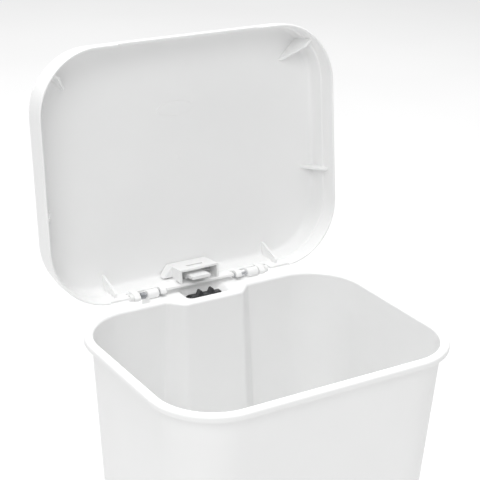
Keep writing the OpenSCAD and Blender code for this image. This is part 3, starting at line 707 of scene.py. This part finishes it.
# %% One outline of the lid
def lid_ring(h, inset, lift=0.0):
    """One outline of the lid, h above its open edge; lift takes in the finger recess."""
    w, d, r = LID_W - 2 * inset, LID_D - 2 * inset, LID_CORNER - inset * CORNER_SHRINK
    hx, hy = w / 2 - r, d / 2 - r
    side_y = np.linspace(-hy, hy, SIDE_STEPS + 1)[1:-1]
    pts = [(w / 2, y) for y in side_y]
    for sx, sy, a0 in ((1, 1, 0), (-1, 1, 90), (-1, -1, 180), (1, -1, 270)):
        pts += [(sx * hx + r * math.cos(a), sy * hy + r * math.sin(a))
                for a in arc(a0, a0 + 90, LID_CORNER_STEPS)]
        if a0 == 0:
            pts += [(x, d / 2) for x in np.linspace(hx, -hx, REAR_STEPS + 1)[1:-1]]
        if a0 == 90:
            pts += [(-w / 2, y) for y in -side_y]
        if a0 == 180:
            pts += [(x, -d / 2) for x in front_places(hx)]
    return [(x, y, LID_Z + h + lift * finger_lift(x, y)) for x, y in pts]


print("lid outline points:", len(lid_ring(0, 0)))


# %% Loft the lid
def skirt_levels(offset, top_h, top_round, step_in):
    """(height, inset, share of the finger recess) from the edge to the flat top."""
    levels = [(h, offset + LID_DRAFT * h * 0.5, max(0.0, 1 - h / FINGER_FADE))
              for h in (1.2, 3.0, 6.0, 10.0, 15.0, STEP_H - 1.5)]
    at_step = offset + LID_DRAFT * STEP_H * 0.5
    levels += [(STEP_H - 0.5, at_step + step_in * 0.3, 0), (STEP_H + 0.5, at_step + step_in, 0)]
    side = top_h - top_round - 2
    end = offset + LID_DRAFT * side
    levels.append(((STEP_H + side) / 2, (at_step + step_in + end) / 2, 0))
    levels += [(side + top_round * math.sin(a), end + top_round * (1 - math.cos(a)), 0)
               for a in arc(0, 86, 10)]
    crown = [(1.4, 8), (1.0, 26), (0.4, 48), (0.0, 62)]
    return levels + [(top_h - drop, end + top_round + inwards, 0) for drop, inwards in crown]


outer = [lid_ring(*level) for level in skirt_levels(0.0, LID_H, LID_ROUND, OUTER_STEP)]
inner = [lid_ring(*level)
         for level in skirt_levels(LID_T, LID_H - LID_T, LID_INNER_ROUND, INNER_STEP)]
edge_levels = [(0.35, 0.4), (0.0, 1.0), (0.0, LID_T - 0.9), (0.35, LID_T - 0.3)]
lid = loft("bin_lid", outer[::-1] + [lid_ring(h, inset, 1.0) for h, inset in edge_levels]
           + inner)
print("lid rings:", len(outer), "outside and", len(inner), "inside")

# %% [markdown]
# ## Notches, ears and webs of the lid
# The lid clears the hinge bosses with two notches, turns on two ears, and is kept centred on
# the rim by six thin webs. On the real lid all of this is one moulding. Separate objects that
# are pushed into the skirt would look much the same, but would leave hidden faces inside the
# plastic. So each one is drawn as a small solid and united with the lid.

# %% Cut the notches
NOTCH_X0, NOTCH_X1, NOTCH_H, SHELF_CUT = 50.0, 104.0, 18.7, 7.0
NOTCH_IN, NOTCH_OUT, NOTCH_BELOW, SHELF_CUT_IN = 16, 8, 6, 14
RELIEF_HALF, RELIEF_H, RELIEF_IN = 132, 3, 6


def block(name, low, high):
    """A plain tool block, used for cutting."""
    (x0, y0, z0), (x1, y1, z1) = low, high
    return extrude(name, [(y0, z0), (y1, z0), (y1, z1), (y0, z1)], x0, x1)


notches = [soft_slab("notch", x0, x1, LID_D / 2 - NOTCH_IN, LID_D / 2 + NOTCH_OUT,
                     LID_Z - NOTCH_BELOW, LID_Z + NOTCH_H, corner=2.0, top=2.5, bottom=0.5)
           for x0, x1 in ((-NOTCH_X1, -NOTCH_X0), (NOTCH_X0, NOTCH_X1))]
notches.append(block("shelf_cut", (-NOTCH_X1, LID_D / 2 - SHELF_CUT_IN, LID_Z - 1),
                     (NOTCH_X1, LID_D / 2 + 1, LID_Z + SHELF_CUT)))
notches.append(block("relief", (-RELIEF_HALF, LID_D / 2 - RELIEF_IN, LID_Z - 1),
                     (RELIEF_HALF, LID_D / 2 + 1, LID_Z + RELIEF_H)))
combine(lid, notches, "DIFFERENCE")
print("notched lid:", len(lid.data.polygons), "faces")

# %% Ears and webs
EAR_X, EAR_END, EAR_R, EAR_EDGE, EAR_PLAY = 88.0, 97.0, 6.0, 0.7, 0.05
WEB_HALF, WEB_EDGE = 1.6, 0.4


def ear(side):
    """A lug that turns on the hinge pin, drawn as a rounded arm."""
    x0, x1 = (EAR_X, EAR_END) if side > 0 else (-EAR_END, -EAR_X)
    face = LID_D / 2 - LID_T
    outline = [(HINGE_Y + EAR_R * math.cos(a), HINGE_Z + EAR_R * math.sin(a))
               for a in arc(-90, 60, 16)]
    outline += [(face + 0.5, LID_Z + 27), (face - 3.0, LID_Z + 26), (face - 2.0, LID_Z + 8.5)]
    return round_edges(extrude("ear", outline, x0, x1), EAR_EDGE, 2, 30)


def web(x, y, angle, reach=20):
    """A locating web: a thin plate that stands on the skirt, with its foot at (x, y)."""
    outline = [(-2.6, 12), (0.5, 36), (2.5, 42), (8, 46.8), (17, 48.4), (reach, 48.4),
               (reach + 0.1, 44), (reach * 0.3, 14), (3.5, 12)]
    n = len(outline)
    verts = [(u, s, LID_Z + h) for s in (-WEB_HALF, WEB_HALF) for u, h in outline]
    faces = [tuple(range(n)), tuple(range(n, 2 * n))]
    faces += [(k, (k + 1) % n, n + (k + 1) % n, n + k) for k in range(n)]
    piece = make_object("web", verts, faces)
    piece.data.transform(Matrix.Translation((x * MM, y * MM, 0))
                         @ Matrix.Rotation(math.radians(angle), 4, "Z"))
    return round_edges(piece, WEB_EDGE, 2, 30)


print("ears at x", EAR_X, "to", EAR_END, "and webs", 2 * WEB_HALF, "mm thick")

# %% Unite them and swing the lid up
SIDE_WEB_Y, REAR_WEB_X, CORNER_REACH = 42, 119, 38
WEB_IN, CORNER_OUT = 2, 1.3
side_x, rear_y = LID_W / 2 - LID_T - WEB_IN, LID_D / 2 - LID_T - WEB_IN
diagonal = LID_CORNER * (1 - math.sqrt(0.5))
webs = []
for s in (-1, 1):
    webs += [web(s * side_x, SIDE_WEB_Y, 180 if s > 0 else 0),
             web(s * REAR_WEB_X, rear_y, -90),
             web(s * (side_x + CORNER_OUT - diagonal), -(rear_y + CORNER_OUT - diagonal),
                 135 if s > 0 else 45, CORNER_REACH)]
combine(lid, [ear(-1), ear(1)] + webs, "UNION")
ear_ways = [turned_bar("ear_way", [(x0, PIN_R + EAR_PLAY), (x1, PIN_R + EAR_PLAY)],
                       HINGE_Y, HINGE_Z)
            for x0, x1 in ((-EAR_END - 1, -EAR_X + 1), (EAR_X - 1, EAR_END + 1))]
combine(lid, ear_ways, "DIFFERENCE")
lid.data.transform(SWING)
shade(lid, 32)
finish(lid, white, "white_lid", "lid", "lid_shell")
print("finished lid:", len(lid.data.polygons), "faces")

# %% [markdown]
# ## Small marks under the lid
# A moulded lid has a plain oval pad near its front and a round gate mark where the plastic came
# in. They could be bumps in the material, but bump alone has no outline when the lid is seen
# from the side. Both are shallow reliefs that only catch the light, so they are thin lofts.


# %% Oval pad and gate mark
def relief_disc(name, x, y, rx, ry, height, steps=64):
    """A shallow oval that stands on the underside of the closed lid's panel."""
    under = LID_Z + LID_H - LID_T
    levels = [(0.4, 0.0), (-height * 0.55, 0.12), (-height * 0.9, 0.45), (-height, 0.9)]
    disc = loft(name, [[(x + (rx - i) * math.cos(a), y + (ry - i) * math.sin(a), under + h)
                        for a in np.linspace(0, 2 * math.pi, steps, endpoint=False)]
                       for h, i in levels])
    disc.data.transform(SWING)
    shade(disc, 60)
    return finish(disc, white, "white_lid", "lid")


marks = [relief_disc("lid_oval_pad", -3.5, -63.0, rx=26.0, ry=9.5, height=0.55),
         relief_disc("lid_gate_mark", 0.0, 0.0, rx=3.4, ry=3.4, height=0.35)]
print("marks:", [mark.name for mark in marks])

# %% [markdown]
# ## Pieces that keep their CAD shape
# Brackets, levers and covers already have their true shape, but a moulding never has a sharp
# edge. They could be drawn again, which risks a wrong size. So a copy of the CAD mesh is
# merged, its flat faces are rejoined, and a small bevel rounds every edge. The CAD mesh itself
# is left alone.

# %% Soften a CAD node
MERGE, SLIVER, FLAT_ANGLE, EDGE_ANGLE = 2e-6, 3e-7, 1.0, 35.0


def softened(node, name, width):
    """A copy of a CAD node with its edges rounded by a width in millimetres."""
    mesh = frame["nodes"][node].data.copy()
    copy = bpy.data.objects.new(name, mesh)
    bpy.context.scene.collection.objects.link(copy)
    bm = bmesh.new()
    bm.from_mesh(mesh)
    bmesh.ops.remove_doubles(bm, verts=bm.verts, dist=MERGE)
    bmesh.ops.dissolve_limit(bm, angle_limit=math.radians(FLAT_ANGLE), verts=bm.verts,
                             edges=bm.edges)
    bm.to_mesh(mesh)
    bm.free()
    round_edges(copy, width, 3, EDGE_ANGLE)
    bm = bmesh.new()
    bm.from_mesh(copy.data)
    bmesh.ops.remove_doubles(bm, verts=bm.verts, dist=SLIVER)
    bmesh.ops.dissolve_degenerate(bm, edges=bm.edges, dist=SLIVER)
    bm.to_mesh(copy.data)
    bm.free()
    return shade(copy, 40)


print("faces within", FLAT_ANGLE, "degree are joined; edges over", EDGE_ANGLE, "are rounded")

# %% The softened pieces
SOFT = [("lift_bracket", 0.5, parts_white, "white_parts", "lid"),
        ("lift_rod", 0.6, charcoal, "dark_plastic", "rod"),
        ("pedal_lever", 0.8, charcoal, "dark_plastic", "pedal"),
        ("base_plate", 0.6, parts_white, "white_parts", "bin"),
        ("channel_cover", 0.5, parts_white, "white_parts", "bin"),
        ("rod_guide_upper", 0.4, parts_white, "white_parts", "bin"),
        ("rod_guide_lower", 0.4, parts_white, "white_parts", "bin")]
for node, width, material, slot_name, rider in SOFT:
    piece = softened(node, node + "_soft", width)
    finish(piece, material, slot_name, rider, node)
    print(piece.name, len(piece.data.polygons), "faces")

# %% [markdown]
# ## The spring
# A small torsion spring sits on the left pin. It could be a stack of rings, as in the CAD, but
# a real wire climbs from turn to turn. It follows a rule, a close-wound helix, so Geometry
# Nodes draws it: a spiral curve turned onto the hinge axis with a round wire swept along it.
# The named inputs are the sizes a spring maker would ask for.


# %% Start and end a node tree
def new_tree(name, inputs):
    """A tree with geometry in and out, and one named input for each (label, kind, value)."""
    tree = bpy.data.node_groups.new(name, "GeometryNodeTree")
    tree.interface.new_socket("Geometry", in_out="INPUT", socket_type="NodeSocketGeometry")
    tree.interface.new_socket("Geometry", in_out="OUTPUT", socket_type="NodeSocketGeometry")
    for label, kind, value in inputs:
        socket = tree.interface.new_socket(label, in_out="INPUT", socket_type=kind)
        if value is not None:
            socket.default_value = value
    return tree, tree.nodes.new("NodeGroupInput"), tree.nodes.new("NodeGroupOutput")


def end_tree(tree, geometry, group_in, group_out):
    """Every tree ends in plain geometry with its material."""
    real = tree.nodes.new("GeometryNodeRealizeInstances")
    paint = tree.nodes.new("GeometryNodeSetMaterial")
    tree.links.new(geometry, real.inputs["Geometry"])
    tree.links.new(real.outputs["Geometry"], paint.inputs["Geometry"])
    tree.links.new(group_in.outputs["Material"], paint.inputs["Material"])
    tree.links.new(paint.outputs["Geometry"], group_out.inputs["Geometry"])


print("tree helpers: new_tree, end_tree")


# %% Run a tree and keep its mesh
def run_tree(obj, tree, values):
    """Sets each named input by its identifier, evaluates the tree, and keeps a plain mesh."""
    step = obj.modifiers.new("pattern", "NODES")
    step.node_group = tree
    ids = {item.name: item.identifier for item in tree.interface.items_tree
           if item.in_out == "INPUT"}
    for label, value in values.items():
        step[ids[label]] = value
    return bake(obj)


def points_object(name, points=()):
    """An object that holds only points, for a tree to work on."""
    mesh = bpy.data.meshes.new(name)
    mesh.from_pydata([tuple(p) for p in points], [], [])
    obj = bpy.data.objects.new(name, mesh)
    bpy.context.scene.collection.objects.link(obj)
    return obj


print("run helpers: run_tree, points_object")


# %% The helix and its wire
def spring_tree():
    tree, gin, gout = new_tree("wound_spring", [
        ("Turns", "NodeSocketFloat", 7.0), ("Coil radius", "NodeSocketFloat", 0.004),
        ("Wire radius", "NodeSocketFloat", 0.0006), ("Length", "NodeSocketFloat", 0.009),
        ("Start", "NodeSocketVector", None), ("Material", "NodeSocketMaterial", None)])
    n, l = tree.nodes, tree.links
    helix = n.new("GeometryNodeCurveSpiral")
    helix.inputs["Resolution"].default_value = 40
    l.new(gin.outputs["Turns"], helix.inputs["Rotations"])
    l.new(gin.outputs["Coil radius"], helix.inputs["Start Radius"])
    l.new(gin.outputs["Coil radius"], helix.inputs["End Radius"])
    l.new(gin.outputs["Length"], helix.inputs["Height"])
    place = n.new("GeometryNodeTransform")
    place.inputs["Rotation"].default_value = (0, math.pi / 2, 0)
    l.new(helix.outputs["Curve"], place.inputs["Geometry"])
    l.new(gin.outputs["Start"], place.inputs["Translation"])
    wire = n.new("GeometryNodeCurvePrimitiveCircle")
    wire.inputs["Resolution"].default_value = 12
    l.new(gin.outputs["Wire radius"], wire.inputs["Radius"])
    sweep = n.new("GeometryNodeCurveToMesh")
    sweep.inputs["Fill Caps"].default_value = True
    l.new(place.outputs["Geometry"], sweep.inputs["Curve"])
    l.new(wire.outputs["Curve"], sweep.inputs["Profile Curve"])
    end_tree(tree, sweep.outputs["Mesh"], gin, gout)
    return tree


wound_spring = spring_tree()
print("spring tree nodes:", len(wound_spring.nodes))

# %% Wind the spring
WIRE_R, TURNS = 0.0006, 6.5
low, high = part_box("torsion_spring")
spring = run_tree(points_object("torsion_spring_wire"), wound_spring, {
    "Turns": TURNS, "Coil radius": (high.z - low.z) / 2 - WIRE_R, "Wire radius": WIRE_R,
    "Length": high.x - low.x - 2 * WIRE_R,
    "Start": (low.x + WIRE_R, MM * HINGE_Y, MM * HINGE_Z), "Material": spring_steel})
shade(spring, 60, weighted=False)
finish(spring, spring_steel, "spring_steel", "bin", "torsion_spring")
print("spring faces:", len(spring.data.polygons))

# %% [markdown]
# ## Screws
# Four screws hold the base and four smaller ones hold the rear cover. Each could be modelled
# where it stands, but eight copies of the same work are hard to keep alike. So one screw is
# turned and given its recess in mesh code, and Geometry Nodes puts a copy at each place.

# %% Turn a screw
SCREW_STEPS, THREAD_PITCH, THREAD_ROOT = 28, 1.2, 0.82


def screw_mesh(name, head_r, head_h, shank_r, length, recess):
    """A screw along +Z with its head's top at the origin and its shank going down."""
    profile = [(0.0, 0.25 * head_r), (-0.1 * head_h, 0.7 * head_r),
               (-0.45 * head_h, 0.96 * head_r), (-0.7 * head_h, head_r), (-head_h, head_r),
               (-head_h, shank_r)]
    for k in range(int((length - head_h) / THREAD_PITCH)):
        z = -head_h - THREAD_PITCH * k
        profile += [(z - 0.3, shank_r * THREAD_ROOT), (z - 0.6, shank_r),
                    (z - 0.9, shank_r * THREAD_ROOT)]
    profile += [(-length + 0.2, shank_r * 0.7), (-length, shank_r * 0.2)]
    screw = loft(name, [[(r * math.cos(a), r * math.sin(a), z)
                         for a in np.linspace(0, 2 * math.pi, SCREW_STEPS, endpoint=False)]
                        for z, r in profile])
    half, arm = recess
    depth = -0.55 * head_h
    return combine(screw, [block("arm", (-arm, -half, depth), (arm, half, 1.0)),
                           block("arm", (-half, -arm, depth), (half, arm, 1.0))], "DIFFERENCE")


print("screw thread:", THREAD_PITCH, "mm pitch")


# %% A tree that copies a screw to each point
def screws_tree():
    tree, gin, gout = new_tree("screws_in_place", [
        ("Screw", "NodeSocketObject", None), ("Turn", "NodeSocketVector", None),
        ("Material", "NodeSocketMaterial", None)])
    n, l = tree.nodes, tree.links
    info = n.new("GeometryNodeObjectInfo")
    l.new(gin.outputs["Screw"], info.inputs["Object"])
    spread = n.new("GeometryNodeInstanceOnPoints")
    l.new(gin.outputs["Geometry"], spread.inputs["Points"])
    l.new(info.outputs["Geometry"], spread.inputs["Instance"])
    turn = n.new("FunctionNodeEulerToRotation")
    l.new(gin.outputs["Turn"], turn.inputs["Euler"])
    l.new(turn.outputs["Rotation"], spread.inputs["Rotation"])
    end_tree(tree, spread.outputs["Instances"], gin, gout)
    return tree


place_screws = screws_tree()
print("screw tree nodes:", len(place_screws.nodes))


# %% Base screws and cover screws
BASE_SCREW_IN, BASE_SCREW_Z = (33, 39), 0.2
COVER_PLACES, COVER_SCREW_OUT = [(-36, 385), (36, 385), (-48, 100), (48, 100)], 4.1


def set_screws(name, screw, points, turn, node):
    """Puts a copy of the screw at each point, turned to its own direction."""
    obj = points_object(name, points)
    run_tree(obj, place_screws, {"Screw": screw, "Turn": turn, "Material": steel})
    bpy.data.objects.remove(screw, do_unlink=True)
    shade(obj, 40)
    finish(obj, steel, "steel", "bin", node)
    print(name, len(points), "screws")


boss_x, boss_y = body_w(0) / 2 - BASE_SCREW_IN[0], body_d(0) / 2 - BASE_SCREW_IN[1]
set_screws("base_screw_set", screw_mesh("base_screw", head_r=4.0, head_h=2.3, shank_r=1.95,
                                        length=17.0, recess=(0.6, 2.3)),
           [(sx * boss_x * MM, sy * boss_y * MM, BASE_SCREW_Z * MM)
            for sx in (-1, 1) for sy in (-1, 1)], (math.pi, 0, 0), "base_screws")
set_screws("cover_screw_set", screw_mesh("cover_screw", head_r=2.9, head_h=1.75, shank_r=1.45,
                                         length=11.0, recess=(0.4, 1.8)),
           [rear @ Vector((MM * x, MM * COVER_SCREW_OUT, MM * z)) for x, z in COVER_PLACES],
           (math.radians(-90 - SIDE_ANGLE), 0, 0), "cover_screws")

# %% [markdown]
# ## The pedal's tread
# A rubber pad with ribs across it keeps a foot from slipping. The ribs could be a bump pattern,
# but their outline shows at the pad's ends. The pad is a soft slab, and its ribs repeat at an
# even pitch, so they are one rounded bar that Geometry Nodes copies in a line.


# %% A tree that copies a rib along a line
def ribs_tree():
    tree, gin, gout = new_tree("tread_ribs", [
        ("Rib", "NodeSocketObject", None), ("Count", "NodeSocketInt", 4),
        ("Pitch", "NodeSocketVector", None), ("First", "NodeSocketVector", None),
        ("Material", "NodeSocketMaterial", None)])
    n, l = tree.nodes, tree.links
    line = n.new("GeometryNodeMeshLine")
    l.new(gin.outputs["Count"], line.inputs["Count"])
    l.new(gin.outputs["First"], line.inputs["Start Location"])
    l.new(gin.outputs["Pitch"], line.inputs["Offset"])
    info = n.new("GeometryNodeObjectInfo")
    l.new(gin.outputs["Rib"], info.inputs["Object"])
    spread = n.new("GeometryNodeInstanceOnPoints")
    l.new(line.outputs["Mesh"], spread.inputs["Points"])
    l.new(info.outputs["Geometry"], spread.inputs["Instance"])
    join = n.new("GeometryNodeJoinGeometry")
    l.new(gin.outputs["Geometry"], join.inputs["Geometry"])
    l.new(spread.outputs["Instances"], join.inputs["Geometry"])
    end_tree(tree, join.outputs["Geometry"], gin, gout)
    return tree


tread_ribs = ribs_tree()
print("rib tree nodes:", len(tread_ribs.nodes))

# %% Pad and ribs
RIB_PITCH, RIB_HALF_W, RIB_RISE, RIB_SUNK = 6, 1.25, 1.0, 0.6
RIB_MARGIN, RIB_FIRST, PAD_MARGIN = 3, 3.25, 4
low, high = (np.array(c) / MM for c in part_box("pedal_tread"))
pad_top = high[2] - RIB_RISE
tread = soft_slab("pedal_tread_pad", low[0], high[0], low[1], high[1], low[2], pad_top,
                  corner=3.0, top=0.6, bottom=0.2)
rib_half = (high[0] - low[0]) / 2 - RIB_MARGIN
rib = soft_slab("rib", -rib_half, rib_half, -RIB_HALF_W, RIB_HALF_W, -RIB_SUNK, RIB_RISE,
                corner=1.2, top=0.7, bottom=0.2, steps=4)
rib_count = int((high[1] - low[1] - PAD_MARGIN) // RIB_PITCH) + 1
run_tree(tread, tread_ribs, {
    "Rib": rib, "Count": rib_count, "Pitch": (0, RIB_PITCH * MM, 0),
    "First": (0, MM * (low[1] + RIB_FIRST), MM * pad_top), "Material": rubber})
bpy.data.objects.remove(rib, do_unlink=True)
shade(tread, 40)
finish(tread, rubber, "rubber", "pedal", "pedal_tread")
print("tread ribs:", rib_count)

# %% [markdown]
# ## Pieces that stay as they are
# Pins, the axle, the clip, the caps and the bushes are turned or bent parts whose CAD mesh is
# already the real shape. Drawing them again would add nothing, so they only get their finish.

# %% Finish the carried-over nodes
KEPT = {"hinge_pin_left": steel, "hinge_pin_right": steel, "pedal_axle": steel,
        "link_pin": steel, "link_clip": spring_steel, "hinge_cap_left": parts_white,
        "hinge_cap_right": parts_white, "axle_bush_left": parts_white,
        "axle_bush_right": parts_white}
for node, material in KEPT.items():
    obj = frame["nodes"][node]
    obj.data.materials.clear()
    obj.data.materials.append(material)
print("kept nodes:", len(KEPT))

# %% [markdown]
# ## Floor and light
# A white product is shown on a white ground with large soft lights, so that its form is read
# from gentle greys. A small lamp would draw hard shadows that hide the shape. The key light
# stands to the front left, a wide softbox hangs high behind the bin to fill its inside, and
# the pale floor bounces light back up. A faint glow keeps the floor clear of grey.

# %% Floor
FLOOR_HALF, FLOOR_THICK, FLOOR_GLOW = 9000, 20.0, 0.10
ground = make_object("floor", [(x, y, z) for z in (-FLOOR_THICK, 0.0) for x, y in
                               ((-FLOOR_HALF, -FLOOR_HALF), (FLOOR_HALF, -FLOOR_HALF),
                                (FLOOR_HALF, FLOOR_HALF), (-FLOOR_HALF, FLOOR_HALF))],
                     [(0, 1, 2, 3), (4, 5, 6, 7), (0, 1, 5, 4), (1, 2, 6, 5), (2, 3, 7, 6),
                      (3, 0, 4, 7)])
floor_mat, nodes, links = new_material("pale_floor")
floor_surface = nodes["Principled BSDF"]
floor_coords = nodes.new("ShaderNodeTexCoord").outputs["Object"]
links.new(ramp_node(nodes, links, noise_node(nodes, links, floor_coords, 1.5),
                    (0.3, (0.71, 0.71, 0.71)), (0.7, (0.73, 0.73, 0.73))),
          floor_surface.inputs["Base Color"])
floor_surface.inputs["Roughness"].default_value = 0.9
floor_surface.inputs["Emission Color"].default_value = (1, 1, 1, 1)
floor_surface.inputs["Emission Strength"].default_value = FLOOR_GLOW
ground.data.materials.append(floor_mat)
print("floor:", 2 * FLOOR_HALF * MM, "m across")

# %% Lights
WORLD_STRENGTH = 0.44
world = bpy.data.worlds.new("studio")
world.use_nodes = True
world.node_tree.nodes["Background"].inputs["Color"].default_value = (1, 1, 1, 1)
world.node_tree.nodes["Background"].inputs["Strength"].default_value = WORLD_STRENGTH
bpy.context.scene.world = world


def softbox(name, place, target, size, power):
    """A square area light of this size in metres and power in watts, aimed at the target."""
    data = bpy.data.lights.new(name, "AREA")
    data.shape, data.size, data.energy = "SQUARE", size, power
    lamp = bpy.data.objects.new(name, data)
    bpy.context.scene.collection.objects.link(lamp)
    lamp.location = place
    lamp.rotation_euler = (Vector(target) - Vector(place)).to_track_quat("-Z", "Y").to_euler()
    return lamp


lamps = [softbox("key", (-1.7, -1.9, 3.1), (0, 0, 0.55), size=1.8, power=40),
         softbox("top", (0.4, 1.2, 6.0), (0.2, 0.9, 0), size=4.0, power=360)]
print("lights:", [lamp.name for lamp in lamps])

# %% [markdown]
# ## Camera
# The bin is seen from its front left and from above, so that both the open lid and the inside
# show, through a long lens that keeps the tapered sides nearly straight. A camera aimed with a
# tracking constraint would stand upright, but this view is rolled a degree or two, so the
# directions to its right and behind it are written down and its up follows from them.

# %% Camera
CAMERA_PLACE = (-0.8479, -1.2725, 1.3096)
CAMERA_RIGHT = Vector((0.8502, -0.5258, 0.0260))
CAMERA_BACK = Vector((-0.4958, -0.7832, 0.3751))
LENS_MM, SENSOR_MM, FAR_CLIP = 105.9, 36.0, 60.0

back = CAMERA_BACK.normalized()
right = (CAMERA_RIGHT - back * CAMERA_RIGHT.dot(back)).normalized()
camera = bpy.data.objects.new("camera", bpy.data.cameras.new("camera"))
bpy.context.scene.collection.objects.link(camera)
camera.data.sensor_width, camera.data.lens, camera.data.clip_end = SENSOR_MM, LENS_MM, FAR_CLIP
camera.matrix_world = Matrix.Translation(CAMERA_PLACE) @ Matrix(
    (right, back.cross(right), back)).transposed().to_4x4()
bpy.context.scene.camera = camera
bpy.context.scene.view_settings.view_transform = "Standard"
print("camera:", LENS_MM, "mm lens at", CAMERA_PLACE)
